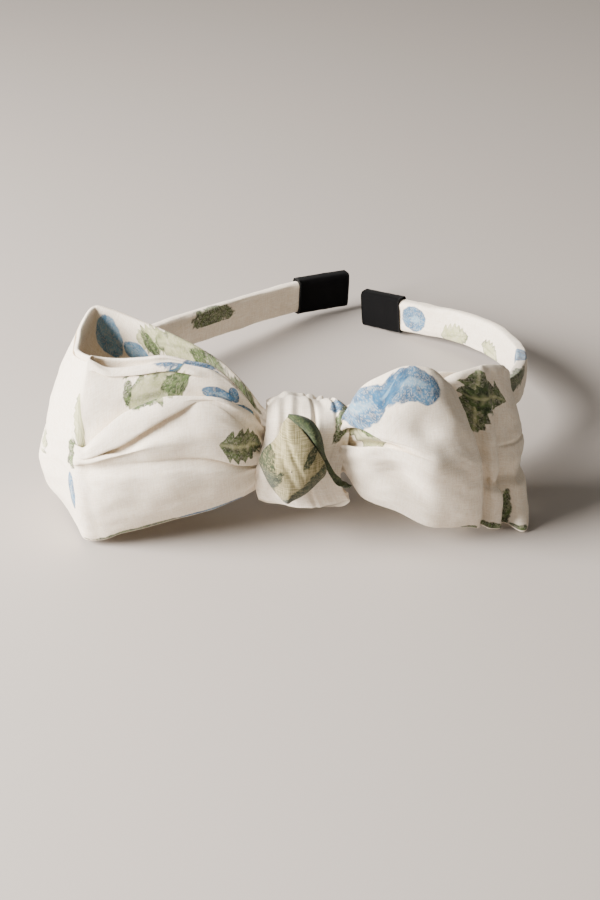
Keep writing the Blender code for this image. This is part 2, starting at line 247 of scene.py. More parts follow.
def leaf_motif(name, darkness):
    """A sage leaf with saw-toothed dark edges and a vein; more darkness fills it in."""
    tree, nodes, place, cloth, out = motif_group(name)
    along, across = nodes.split(place)
    side = nodes.math("ABSOLUTE", across)
    body = nodes.math("SUBTRACT", 1.0, nodes.math("POWER", nodes.math("ABSOLUTE", along), 3.0))
    lean = nodes.math("MULTIPLY_ADD", side, 1.2, 7.0)
    teeth = nodes.math("PINGPONG", nodes.math("MULTIPLY_ADD", along, 3.1, lean), 0.5)
    body = nodes.math("MULTIPLY", body, nodes.math("MULTIPLY_ADD", teeth, 0.7, 0.65))
    bleed = nodes.math("MULTIPLY_ADD", nodes.noise(cloth, 0.45, 3.0, 0.55), 0.5, -0.25)
    edge = nodes.math("ADD", nodes.math("SUBTRACT", body, side), bleed)
    mask = nodes.step(edge, 0.0, 0.09)
    rim = nodes.math("SUBTRACT", 1.0, nodes.step(edge, 0.08, 0.45 + darkness))
    patches = nodes.step(nodes.noise(cloth, 0.20, 2.0, 0.5), 0.40 - 0.3 * darkness, 0.58 - 0.3 * darkness)
    spine = nodes.math("ADD", side, nodes.math("MULTIPLY", bleed, 0.3))
    vein = nodes.math("SUBTRACT", 1.0, nodes.step(spine, 0.03, 0.13))
    depth = nodes.math("MULTIPLY_ADD", patches, 0.8, 0.2 + 0.2 * darkness)
    dark = nodes.math("MULTIPLY", rim, depth, clamp=True)
    if darkness > 0.5:
        dark = nodes.math("SUBTRACT", dark, nodes.math("MULTIPLY", vein, 0.45), clamp=True)
    else:
        dark = nodes.math("MAXIMUM", dark, nodes.math("MULTIPLY", vein, 0.35))
    wash = nodes.mix(nodes.step(nodes.noise(cloth, 0.30, 3.0), 0.35, 0.7), SAGE, PALE_SAGE)
    green = nodes.mix(nodes.step(nodes.noise(cloth, 0.7, 3.0), 0.35, 0.65), LEAF_GREEN, DARK_GREEN)
    nodes.link(nodes.mix(dark, wash, green), out.inputs["Ink"])
    nodes.link(mask, out.inputs["Mask"])
    return tree


def petal_motif(name, deep, ink, pale):
    """A rounded blue petal with a pale streak inside."""
    tree, nodes, place, cloth, out = motif_group(name)
    along, across = nodes.split(place)
    bleed = nodes.math("MULTIPLY_ADD", nodes.noise(cloth, 0.40, 3.0, 0.55), 0.5, -0.25)
    far = nodes.distance(along, across)
    edge = nodes.math("ADD", nodes.math("SUBTRACT", 1.0, far), nodes.math("MULTIPLY", bleed, 0.6))
    mask = nodes.step(edge, 0.0, 0.10)
    streak_across = nodes.math("MULTIPLY", nodes.math("ADD", across, -0.05), 3.2)
    streak_along = nodes.math("MULTIPLY", nodes.math("ADD", along, 0.1), 1.7)
    streak = nodes.distance(streak_along, streak_across)
    worn = nodes.math("ADD", streak, nodes.math("MULTIPLY", bleed, 1.6))
    streak = nodes.math("SUBTRACT", 1.0, nodes.step(worn, 0.45, 1.0))
    wash = nodes.mix(nodes.step(nodes.noise(cloth, 0.35, 3.0), 0.35, 0.68), ink, deep)
    nodes.link(nodes.mix(nodes.math("MULTIPLY", streak, 0.75), wash, pale), out.inputs["Ink"])
    nodes.link(mask, out.inputs["Mask"])
    return tree


def dab_motif(name, ink, deep):
    """A ragged brush dab."""
    tree, nodes, place, cloth, out = motif_group(name)
    along, across = nodes.split(place)
    far = nodes.distance(along, across)
    bleed = nodes.math("MULTIPLY_ADD", nodes.noise(cloth, 0.40, 3.0, 0.55), 1.2, -0.6)
    edge = nodes.math("ADD", nodes.math("SUBTRACT", 1.0, far), bleed)
    wash = nodes.mix(nodes.step(nodes.noise(cloth, 0.8, 3.0), 0.35, 0.65), ink, deep)
    nodes.link(wash, out.inputs["Ink"])
    nodes.link(nodes.step(edge, 0.0, 0.22), out.inputs["Mask"])
    return tree


MOTIFS = {
    "leaf": leaf_motif("leaf", 0.0), "dark_leaf": leaf_motif("dark_leaf", 1.0),
    "petal": petal_motif("petal", DEEP_BLUE, PETAL_BLUE, PALE_BLUE),
    # The paler petal is painted light: its blues stand in for light shining through the cloth inside the
    # loop.
    "painted_lit_petal": petal_motif("painted_lit_petal", PETAL_BLUE, PAINTED_LIT_BLUE, PALE_BLUE),
    "dab": dab_motif("dab", LEAF_GREEN, DARK_GREEN),
    "blue_dab": dab_motif("blue_dab", PETAL_BLUE, DEEP_BLUE),
    "deep_dab": dab_motif("deep_dab", DARK_GREEN, DEEPEST_GREEN),
}
print("motifs", sorted(MOTIFS))

# %% [markdown]
# The cloth's own finish: cream thread, a little darker and lighter from thread to thread,
# with raised crossings every 0.4 mm.  Small cells at random hold less ink, which gives
# the print its speckle.

# %% Printed cloth
CREAM = rgb(246, 236, 220)
CREAM_SHADE = rgb(232, 217, 194)
THREAD_PITCH = 0.42     # mm between threads
DOT_PITCH = 0.33        # mm between the specks the ink misses


def cloth_material(name, prints=(), base=CREAM, shade=CREAM_SHADE, speck=0.30):
    """Woven cloth with prints: (motif, along, across, turn in degrees, half length, half width)."""
    material = bpy.data.materials.new(name)
    material.use_nodes = True
    tree = material.node_tree
    shader = tree.nodes["Principled BSDF"]
    nodes = Nodes(tree)
    cloth = nodes.add("ShaderNodeUVMap", uv_map="cloth").outputs["UV"]
    along, across = nodes.split(cloth)
    turns = 2 * math.pi / THREAD_PITCH
    warp = nodes.math("SINE", nodes.math("MULTIPLY", along, turns))
    weft = nodes.math("SINE", nodes.math("MULTIPLY", across, turns))
    crossing = nodes.math("MULTIPLY", warp, weft)
    slub_along = nodes.noise(nodes.stretched(cloth, (0.25, 4.0, 1.0)), 1.0, 3.0, 0.6)
    slub_across = nodes.noise(nodes.stretched(cloth, (4.0, 0.25, 1.0)), 1.0, 3.0, 0.6)
    slub = nodes.math("ADD", slub_along, slub_across)
    colour = nodes.mix(nodes.step(slub, 0.75, 1.25), shade, base)
    cell = nodes.add("ShaderNodeVectorMath", operation="FLOOR")
    nodes.link(nodes.stretched(cloth, (1 / DOT_PITCH, 1 / DOT_PITCH, 1.0)), cell.inputs[0])
    dots = nodes.add("ShaderNodeTexWhiteNoise", noise_dimensions="2D")
    nodes.link(cell.outputs[0], dots.inputs["Vector"])
    bare = nodes.math("SUBTRACT", 1.0, dots.outputs["Value"])
    hold = nodes.math("SUBTRACT", 0.98, nodes.math("MULTIPLY", nodes.math("MULTIPLY", bare, bare), speck))
    tone = nodes.math("MULTIPLY_ADD", dots.outputs["Value"], 0.09, 0.93)
    for motif, x, y, turn, half_length, half_width in prints:
        spot = nodes.add("ShaderNodeMapping", vector_type="TEXTURE")
        nodes.link(cloth, spot.inputs["Vector"])
        spot.inputs["Location"].default_value = (x, y, 0)
        spot.inputs["Rotation"].default_value = (0, 0, math.radians(turn))
        spot.inputs["Scale"].default_value = (half_length, half_width, 1)
        group = nodes.add("ShaderNodeGroup", node_tree=MOTIFS[motif])
        nodes.link(spot.outputs["Vector"], group.inputs["Place"])
        nodes.link(cloth, group.inputs["Cloth"])
        covered = nodes.math("MULTIPLY", group.outputs["Mask"], hold)
        colour = nodes.mix(covered, colour, group.outputs["Ink"])
    grey = nodes.add("ShaderNodeCombineColor")
    for socket in grey.inputs:
        nodes.link(tone, socket)
    colour = nodes.mix(1.0, colour, grey.outputs[0], "MULTIPLY")
    nodes.link(colour, shader.inputs["Base Color"])
    shader.inputs["Roughness"].default_value = 0.88
    shader.inputs["Specular IOR Level"].default_value = 0.25
    shader.inputs["Sheen Weight"].default_value = 0.18
    shader.inputs["Sheen Roughness"].default_value = 0.5
    bump = nodes.add("ShaderNodeBump")
    bump.inputs["Strength"].default_value = 0.35
    bump.inputs["Distance"].default_value = 0.00012
    height = nodes.math("ADD", nodes.math("MULTIPLY", crossing, 0.5), nodes.math("MULTIPLY", slub, 1.1))
    nodes.link(height, bump.inputs["Height"])
    nodes.link(bump.outputs["Normal"], shader.inputs["Normal"])
    return material


# %% [markdown]
# Velvet is black pile: nearly no colour of its own, and a soft sheen where the pile
# catches light at its edges.  The core, the thread and the glue hardly show.

# %% Velvet, plastic, thread and glue


def plain_material(name, colour, roughness, bump_scale, bump_strength, variation=0.15, **sockets):
    """A finish with a mottled colour and a fine noisy surface."""
    material = bpy.data.materials.new(name)
    material.use_nodes = True
    tree = material.node_tree
    shader = tree.nodes["Principled BSDF"]
    nodes = Nodes(tree)
    place = nodes.add("ShaderNodeTexCoord").outputs["Object"]
    mottle = nodes.noise(place, bump_scale / 6, 3.0)
    darker = tuple(c * (1 - variation) for c in colour[:3]) + (1.0,)
    nodes.link(nodes.mix(mottle, darker, colour), shader.inputs["Base Color"])
    shader.inputs["Roughness"].default_value = roughness
    for key, value in sockets.items():
        shader.inputs[key.replace("_", " ")].default_value = value
    bump = nodes.add("ShaderNodeBump")
    bump.inputs["Strength"].default_value = bump_strength
    bump.inputs["Distance"].default_value = 0.0001
    nodes.link(nodes.noise(place, bump_scale, 4.0, 0.7), bump.inputs["Height"])
    nodes.link(bump.outputs["Normal"], shader.inputs["Normal"])
    return material


velvet = plain_material("black_velvet", (0.0025, 0.0025, 0.0028, 1), 1.0, 9000, 0.2,
                        Sheen_Weight=0.06, Sheen_Roughness=0.3, Specular_IOR_Level=0.1)
plastic = plain_material("core_plastic", rgb(226, 222, 212), 0.38, 1500, 0.08)
thread = plain_material("cotton_thread", rgb(236, 230, 218), 0.8, 6000, 0.6)
glue = plain_material("hot_glue", rgb(226, 220, 200), 0.25, 900, 0.15, Coat_Weight=0.3)
print("materials", len(bpy.data.materials))

# %% [markdown]
# ## The bow's loops
# Each loop is one doubled strip of cloth.  It leaves the knot at the front, runs out,
# turns round its open end and comes back behind.  Stations along it give the foot, the
# middle and the head of the cloth, in millimetres from the knot's foot.

# %% Stations of the left loop
LEFT = [
    ((-0.5, -2.3, 15.0), (-0.5, -2.2, 21.0), (-0.5, -2.1, 27.0)),
    ((-8.5, -3.6, 14.0), (-8.5, -3.8, 21.5), (-8.5, -3.2, 28.5)),
    ((-11.0, -6.5, 13.3), (-11.0, -7.5, 24.0), (-10.5, -4.0, 34.0)),
    ((-14.9, -9.0, 11.6), (-15.0, -11.0, 26.0), (-14.5, -5.0, 41.0)),
    ((-20.0, -10.8, 10.2), (-20.0, -13.0, 27.5), (-20.0, -4.5, 46.0)),
    ((-24.8, -12.0, 9.1), (-26.0, -14.0, 28.0), (-26.0, -4.5, 48.0)),
    ((-31.0, -13.0, 7.8), (-32.0, -15.0, 28.0), (-32.0, -4.5, 49.5)),
    ((-37.2, -13.5, 6.5), (-38.5, -15.5, 27.5), (-38.0, -4.5, 49.2)),
    ((-44.2, -14.0, 4.8), (-45.0, -15.5, 27.0), (-44.5, -4.0, 48.8)),
    ((-49.0, -13.5, 2.6), (-50.5, -14.5, 26.0), (-50.0, -4.0, 49.2)),
    ((-54.3, -12.0, 1.8), (-54.2, -12.0, 26.0), (-51.3, -3.5, 48.6)),
    ((-57.0, -6.0, 2.2), (-58.5, -4.5, 24.0), (-54.5, 1.0, 48.0)),
    ((-60.0, 2.0, 2.9), (-64.0, 4.0, 20.0), (-55.0, 7.0, 48.0)),
    ((-62.0, 10.0, 3.0), (-65.3, 12.0, 19.0), (-54.5, 13.0, 49.0)),
    ((-61.0, 17.0, 3.0), (-64.0, 19.5, 21.0), (-52.5, 19.5, 50.8)),
    ((-56.0, 19.5, 3.0), (-57.0, 22.5, 26.0), (-49.0, 20.0, 50.5)),
    ((-48.0, 17.0, 4.0), (-46.0, 19.0, 26.0), (-42.0, 19.0, 48.3)),
    ((-35.0, 12.5, 6.0), (-33.0, 15.0, 26.0), (-31.5, 15.5, 45.0)),
    ((-21.0, 9.0, 9.0), (-21.0, 11.5, 24.0), (-21.4, 12.0, 40.3)),
    ((-13.0, 7.5, 12.0), (-13.5, 9.0, 23.0), (-13.9, 9.0, 34.2)),
    ((-8.5, 6.2, 14.0), (-8.5, 6.8, 21.0), (-8.5, 7.0, 28.0)),
    ((-0.5, 5.2, 15.0), (-0.5, 5.2, 21.0), (-0.5, 5.2, 27.0)),
]

# %% Stations of the right loop
RIGHT = [
    ((0.5, -2.3, 15.0), (0.5, -2.2, 21.0), (0.5, -2.1, 27.0)),
    ((8.5, -3.6, 15.0), (8.5, -4.0, 22.0), (8.5, -3.2, 29.0)),
    ((10.8, -6.5, 17.5), (11.0, -8.0, 26.0), (11.3, -4.5, 33.5)),
    ((14.7, -9.0, 12.6), (15.0, -12.0, 28.0), (14.5, -6.5, 41.5)),
    ((18.3, -11.0, 11.7), (19.0, -14.5, 29.0), (19.4, -7.0, 45.2)),
    ((23.7, -12.5, 10.6), (25.0, -16.5, 29.0), (24.6, -6.5, 47.3)),
    ((31.1, -13.0, 6.5), (31.0, -16.5, 27.0), (29.5, -6.0, 47.0)),
    ((36.7, -12.0, 5.2), (36.5, -15.0, 25.5), (32.5, -5.5, 45.8)),
    ((41.6, -10.5, 4.0), (40.6, -13.0, 23.0), (35.2, -5.0, 43.3)),
    ((45.2, -8.2, 2.6), (43.6, -9.8, 22.0), (36.6, -4.2, 41.8)),
    ((43.8, -4.6, 2.2), (41.2, -4.8, 22.0), (35.5, -1.0, 41.0)),
    ((46.5, -5.2, 1.5), (44.8, -3.6, 22.0), (38.2, 0.2, 42.0)),
    ((48.6, -6.6, 1.3), (47.6, -4.4, 21.0), (41.5, 1.8, 42.3)),
    ((51.0, -6.2, 1.3), (49.4, -3.2, 20.5), (44.2, 3.2, 42.4)),
    ((50.2, -3.4, 1.3), (48.8, -0.8, 20.5), (46.0, 4.4, 42.2)),
    ((52.6, -3.6, 1.2), (52.2, 0.4, 20.5), (48.6, 6.2, 41.4)),
    ((56.0, -7.0, 1.0), (54.6, 1.6, 20.5), (50.4, 8.0, 40.4)),
    ((58.3, -5.2, 1.2), (56.0, 4.8, 20.0), (51.4, 9.6, 39.4)),
    ((57.4, 3.0, 1.5), (56.4, 9.0, 19.5), (52.6, 12.5, 37.0)),
    ((54.0, 9.5, 2.0), (53.4, 13.0, 19.5), (50.6, 14.6, 35.2)),
    ((47.0, 13.5, 3.5), (46.5, 15.0, 20.0), (45.0, 15.5, 34.5)),
    ((35.0, 10.8, 6.0), (34.0, 12.5, 22.0), (33.0, 12.0, 36.5)),
    ((20.0, 7.4, 10.0), (20.0, 9.0, 22.0), (20.0, 8.0, 34.5)),
    ((8.5, 6.0, 14.0), (8.5, 6.4, 21.0), (8.5, 6.0, 28.0)),
    ((0.5, 5.2, 15.0), (0.5, 5.2, 21.0), (0.5, 5.2, 27.0)),
]

# %% [markdown]
# The stations are joined by a smooth surface.  `along` counts stations and `up` runs
# from 0 at the foot to 1 at the head.

# %% Smooth surface through the stations


def catmull(points, place):
    """A smooth line through the points, read at each place, counted in points."""
    points = np.asarray(points, float)
    place = np.clip(np.atleast_1d(place), 0, len(points) - 1)
    index = np.minimum(place.astype(int), len(points) - 2)
    t = (place - index).reshape((-1,) + (1,) * (points.ndim - 1))
    before, after = 2 * points[:1] - points[1:2], 2 * points[-1:] - points[-2:-1]
    padded = np.concatenate([before, points, after])
    a, b, c, d = (padded[index + k] for k in range(4))
    return 0.5 * (2 * b + (c - a) * t + (2 * a - 5 * b + 4 * c - d) * t ** 2
                  + (3 * b - a - 3 * c + d) * t ** 3)


def track(place, *knots):
    """A value that runs smoothly from knot to knot; each knot is (place, value)."""
    places, values = (np.array(column, float) for column in zip(*knots))
    if place <= places[0] or len(knots) == 1:
        return values[0]
    if place >= places[-1]:
        return values[-1]
    slopes = np.diff(values) / np.diff(places)
    leans = np.zeros(len(values))
    for k in range(1, len(slopes)):
        if slopes[k - 1] * slopes[k] > 0:
            leans[k] = 2 / (1 / slopes[k - 1] + 1 / slopes[k])
    k = int(np.searchsorted(places, place, side="right")) - 1
    run = places[k + 1] - places[k]
    t = (place - places[k]) / run
    return (values[k] * (1 + 2 * t) * (1 - t) ** 2 + leans[k] * run * t * (1 - t) ** 2
            + values[k + 1] * t * t * (3 - 2 * t) + leans[k + 1] * run * t * t * (t - 1))


def base_point(rails, along, up):
    """The smooth surface at one station place for many heights."""
    foot, middle, head = rails(along)
    up = np.asarray(up)[:, None]
    return foot * (1 - up) * (1 - 2 * up) + middle * 4 * up * (1 - up) + head * up * (2 * up - 1)


def rails_of(stations):
    stations = np.array(stations, float)

    def rails(along):
        return catmull(stations, along)[0]
    return rails


def noise_at(place, seed=0.0):
    return noise.noise(Vector((place[0] + seed, place[1] - seed, place[2] + 0.5 * seed)))


print("left foot line ends", rails_of(LEFT)(0)[0], rails_of(LEFT)(21)[0])

# %% [markdown]
# A profile is the section of the doubled cloth at one place: pairs of height and how
# far the cloth stands out, in millimetres, from the foot up the outer face, over the
# rim and down the lining.  A pleat is a few pairs that fold back on each other.

# %% Left loop's profile


def left_profile(s, height):
    """The left loop: a crease low down, a rolled lip, an arch, a tuck and a slit rim."""
    mm = 1 / height
    front = track(s, (0, 0.3), (1.2, 1), (9.4, 1), (10.3, 0))
    crease = track(s, (0, 0.36), (2.2, 0.40), (4.6, 0.45), (6, 0.46), (9.7, 0.455), (21, 0.45))
    crease_over = front * track(s, (0, 1), (2.6, 1), (4.8, 0.25), (7, 0.10), (10, 0))
    crease_deep = front * track(s, (0, 1.0), (4, 0.8), (7, 0.45), (10, 0.5))
    lip = track(s, (0, 0.60), (4.6, 0.80), (5.4, 0.745), (6.6, 0.66), (7.9, 0.565), (9.5, 0.515), (21, 0.52))
    lip_on = front * track(s, (4.5, 0), (5.6, 0.8), (6.3, 1), (9.2, 1), (10, 0.3))
    crest = track(s, (0, 0.80), (0.9, 1.0), (2.4, 0.885), (3.6, 0.845), (5, 0.82), (6.2, 0.80),
                  (7.4, 0.745), (8.5, 0.64), (9.4, 0.565), (21, 0.58))
    crest_on = front * track(s, (0, 0.3), (1.5, 1), (9.2, 1), (10, 0.2))
    tuck = track(s, (0, 0.93), (21, 0.925))
    tuck_on = track(s, (4.2, 0), (5, 1), (8.3, 1), (9.2, 0))
    slit = track(s, (0, 0.955), (5, 0.965), (7.3, 0.945), (8.1, 0.94), (9.1, 0.97), (21, 0.97))
    slit_on = track(s, (0.5, 0.3), (2, 1), (8.9, 1), (9.6, 0.4), (10.2, 0))
    gape = track(s, (2.0, 0), (4.5, 0.9), (6.4, 1.5), (7.9, 3.0), (8.8, 2.7), (9.6, 0.3), (10.2, 0))
    tuck = min(tuck, slit - 1.5 * mm)
    crest = min(crest, slit - 2.0 * mm)
    lip = min(lip, crest - 1.2 * mm)
    puff = (crease + lip) / 2
    panel = tuck - crest
    pairs = [
        (0.0, 0.0), (0.07, 0.6), (crease * 0.45, 1.3), (crease * 0.8, 1.2),
        (crease - 1.6 * mm, 0.6 - 0.2 * crease_deep),
        (crease + 0.9 * crease_over * mm, 0.3 - 0.9 * crease_deep - 0.6 * crease_over),
        (crease + (1.4 - 2.2 * crease_over) * mm, 0.5 + 0.6 * crease_over),
        (crease + 3.6 * mm, 1.5 + 0.3 * crease_over), (puff + 0.01, 2.1),
        (lip - (3.0 - 1.2 * lip_on) * mm, 1.8 - 1.0 * lip_on),
        (lip - 0.4 * mm, 1.5 - 1.5 * lip_on),
        (lip + 1.6 * lip_on * mm, 1.3 - 2.2 * lip_on),
        (lip - 0.2 * lip_on * mm, 1.3 + 0.7 * lip_on),
        (lip + 0.45 * (crest - lip), 1.3 + 1.0 * lip_on),
        (crest - 0.7 * mm, 1.2 + 0.5 * crest_on), (crest, 0.6 + 0.5 * crest_on),
        (crest - 1.8 * crest_on * mm, 0.3 - 1.4 * crest_on),
        (crest + 0.4 * mm, 0.1 - 0.8 * crest_on), (crest + 0.30 * panel, 0.2 - 0.5 * crest_on),
        (crest + 0.62 * panel, 0.3 - 0.1 * crest_on), (tuck - 0.3 * mm, 0.2),
        (tuck + 0.8 * tuck_on * mm, 0.2 - 0.7 * tuck_on),
        (tuck - 0.1 * mm, 0.2 + 0.4 * tuck_on), (tuck + 0.8 * mm, 0.2 + 0.5 * tuck_on),
        (slit, 0.2), (slit + 0.2 * mm, 0.2 - 0.5 * slit_on),
        (slit - 2.8 * slit_on * mm, -0.3 - 1.3 * slit_on),
        (slit + 0.6 * mm, -0.2 - 0.8 * slit_on - gape), (1.0 - 0.3 * mm, 0.1 - 0.8 * slit_on - 0.7 * gape),
        (1.0 + 0.2 * mm, -0.5 - 0.9 * slit_on - 0.7 * gape),
        (1.0 - 0.5 * mm, -1.3 - 1.0 * slit_on - 0.7 * gape),
        (0.90, -1.6 - 1.7 * slit_on - 0.5 * gape), (0.70, -1.9 - 0.6 * front), (0.45, -1.5 - 0.6 * front),
        (0.2, -1.3), (0.02, -1.2), (-0.006, -0.6),
    ]
    outer = 25              # the pairs of the outer face
    plain_face = [(up, 1.1 * math.sin(math.pi * min(max(up, 0), 1))) for up, out in pairs[:outer]]
    face = [(up, out * front + flat * (1 - front))
            for (up, out), (up, flat) in zip(pairs, plain_face)]
    return face + pairs[outer:]


# %% Right loop's profile


def right_profile(s, height):
    """The right loop: a deep fold from the knot between two puffs, and a smooth rim."""
    mm = 1 / height
    fold = track(s, (0, 0.50), (1.7, 0.54), (3.2, 0.525), (4.3, 0.53), (5.3, 0.52), (24, 0.52))
    fold_on = track(s, (0, 0.4), (1.2, 1), (4.0, 1), (4.8, 0.5), (5.6, 0.12), (6.4, 0))
    wedge = track(s, (0, 0.70), (2.0, 0.74), (3.1, 0.665), (4.3, 0.575), (5.3, 0.56), (24, 0.60))
    belly = track(s, (0, 0.3), (3, 1), (8, 1), (9.3, 0.2), (24, 0.2))
    wedge = max(wedge, fold + 1.0 * mm)
    return [
        (0.0, 0.0), (0.07, 0.6 * belly), (0.2, 1.0 * belly), (0.33, 1.2 * belly),
        (fold - 4.0 * mm, 1.3 * belly), (fold - 1.2 * mm, 1.3 * belly), (fold, 1.3 * belly - 0.4 * fold_on),
        (fold - 2.2 * fold_on * mm, 1.3 * belly - 3.0 * fold_on),
        (fold - 0.4 * fold_on * mm, 1.3 * belly - 4.0 * fold_on),
        ((fold + wedge) / 2, 1.3 * belly - 2.2 * fold_on), (wedge - 0.4 * mm, 1.3 * belly - 2.0 * fold_on),
        (wedge + 1.5 * fold_on * mm, 1.3 * belly - 3.0 * fold_on),
        (wedge + 0.1 * mm, 1.3 * belly - 0.4 * fold_on), (wedge + 2.5 * mm, 1.3 * belly),
        ((wedge + 1) / 2, 1.5 * belly), (0.91, 1.0 * belly), (0.97, 0.4), (1.0, -0.3),
        (0.99, -1.1), (0.92, -1.6), (0.75, -1.8 - 2.6 * fold_on), (0.40, -1.6 - 3.0 * fold_on),
        (0.2, -1.5 - 0.8 * fold_on), (0.02, -1.3), (-0.006, -0.6),
    ]


print("profile pairs", len(left_profile(5.0, 40.0)), len(right_profile(5.0, 40.0)))

# %% [markdown]
# A loop's cloth is gathered where it enters the knot, so ridges fan out from there and
# die away.  Slower waves and fine wrinkles run the length of the strip.

# %% Build a loop
STEPS_PER_STATION = 12
STEPS_PER_PAIR = 7


def gathers(s, up, last, seed):
    """Ridges that fan out from both ends of the loop, in millimetres."""
    near = math.exp(-((s - 1.6) / 1.7) ** 2) + 0.8 * math.exp(-((last - s - 1.4) / 2.2) ** 2)
    ridge = math.sin(38 * up + 2.1 * seed) + 0.6 * math.sin(23 * up + seed + 0.4 * s)
    return 0.30 * near * ridge


def wrinkles(s, up, seed):
    """Long low waves and fine wrinkles along the strip, in millimetres."""
    slow = noise_at((s * 0.45, up * 3.0, 0), seed)
    long = noise_at((s * 0.8, up * 11.0, 4), seed)
    fine = noise_at((s * 1.6, up * 30.0, 9), seed)
    return 0.75 * slow + 0.38 * long + 0.12 * fine


def surface_object(name, grid, cloth, material):
    """A mesh from a grid of points, its rows closed into rings and its ends capped."""
    columns, rows = grid.shape[:2]
    first = np.arange(columns - 1)[:, None] * rows
    here = np.arange(rows)[None, :]
    after = (here + 1) % rows
    corners = [first + here, first + rows + here, first + rows + after, first + after]
    faces = np.stack(corners, -1).reshape(-1, 4)
    mesh = bpy.data.meshes.new(name)
    caps = [list(range(rows))[::-1], list(range((columns - 1) * rows, columns * rows))]
    mesh.from_pydata(grid.reshape(-1, 3).tolist(), [], faces.tolist() + caps)
    layer = mesh.uv_layers.new(name="cloth")
    places = np.zeros((len(mesh.loops), 2))
    corner = np.arange(len(faces) * 4)
    vertex = faces.reshape(-1)
    places[corner] = cloth.reshape(-1, 2)[vertex]
    seam = (corner // 4 % rows == rows - 1) & (corner % 4 >= 2)
    past_end = 2 * cloth[:, -1, 1] - cloth[:, -2, 1]
    places[corner[seam], 1] = past_end[vertex[seam] // rows]
    layer.data.foreach_set("uv", places.reshape(-1))
    mesh.materials.append(material)
    mesh.shade_smooth()
    obj = bpy.data.objects.new(name, mesh)
    bpy.context.scene.collection.objects.link(obj)
    return obj


def distances(points):
    """Running distance along each row of points."""
    steps = np.linalg.norm(np.diff(points, axis=0), axis=-1)
    return np.concatenate([np.zeros((1,) + steps.shape[1:]), np.cumsum(steps, axis=0)])


def cloth_map(grid):
    """Millimetres along and across a grid, for its weave and print."""
    along = distances(grid).mean(axis=1)
    across = distances(grid.transpose(1, 0, 2)).T
    return np.stack([np.repeat(along[:, None], grid.shape[1], 1), across], -1)


def build_loop(name, stations, profile, outward, material, extra, seed):
    rails = rails_of(stations)
    last = len(stations) - 1
    places = np.linspace(0, last, last * STEPS_PER_STATION + 1)
    columns = []
    for s in places:
        foot, middle, head = rails(s)
        height = np.linalg.norm(head - middle) + np.linalg.norm(middle - foot)
        pairs = np.array(profile(s, height))
        ring = np.concatenate([pairs, pairs[:1]])
        t = np.linspace(0, len(pairs), len(pairs) * STEPS_PER_PAIR, endpoint=False)
        padded = np.concatenate([pairs[-1:], ring, pairs[1:2]])
        fine = catmull(padded, t + 1)
        up, out = fine[:, 0], fine[:, 1]
        out = out + np.array([gathers(s, u, last, seed) + wrinkles(s, u, seed) + extra(s, u) for u in up])
        here = base_point(rails, s, up)
        ahead = base_point(rails, min(s + 0.15, last), up) - base_point(rails, max(s - 0.15, 0), up)
        upward = base_point(rails, s, up + 0.02) - base_point(rails, s, up - 0.02)
        normal = np.cross(ahead, upward) * outward
        normal /= np.linalg.norm(normal, axis=1)[:, None]
        columns.append(here + normal * out[:, None])
    grid = np.array(columns)
    cloth = cloth_map(grid)
    obj = surface_object(name, placed(grid), cloth, material)
    long, round_it = cloth[-1, 0, 0], cloth[:, -1, 1].mean()
    print(name, grid.shape, "strip %.0f mm long, %.0f mm round" % (long, round_it))
    return obj


# %% [markdown]
# The right loop has a soft hollow and a bump on its front, and two level creases across
# its open end.  The left loop's end swells out low down, with a shallow pinch above.

# %% Folds at the loops' open ends


def bump_at(value, middle, half):
    return math.exp(-((value - middle) / half) ** 2)


def left_extra(s, up):
    pinch = bump_at(s, 13.0, 1.5) * bump_at(up, 0.55, 0.07)
    swell = bump_at(s, 13.2, 1.8) * bump_at(up, 0.34, 0.14)
    ripple = 0.35 * bump_at(s, 5.0, 3.0) * bump_at(up, 0.20, 0.05)
    return -0.9 * pinch + 0.7 * swell - ripple


def right_extra(s, up):
    hollow = -2.8 * bump_at(s, 4.9 - 3.6 * (up - 0.33), 0.8) * bump_at(up, 0.34, 0.11)
    bump = 1.7 * bump_at(s, 6.0, 0.8) * bump_at(up, 0.49, 0.085)
    dent = -1.5 * bump_at(s, 5.6, 0.8) * bump_at(up, 0.68, 0.07)
    wall = track(s, (10.6, 0), (11.4, 1), (17.5, 1), (19, 0))
    shade = -1.3 * bump_at(up, 0.315, 0.030) - 0.9 * bump_at(up, 0.36, 0.05)
    crease = -0.55 * bump_at(up, 0.53, 0.012) * track(s, (14.2, 0), (14.8, 1))
    return hollow + bump + dent + wall * (shade + crease)


# %% [markdown]
# The print was cut at random when the strips were cut, so each piece shows its own part
# of it.  Places are millimetres along and across each strip.

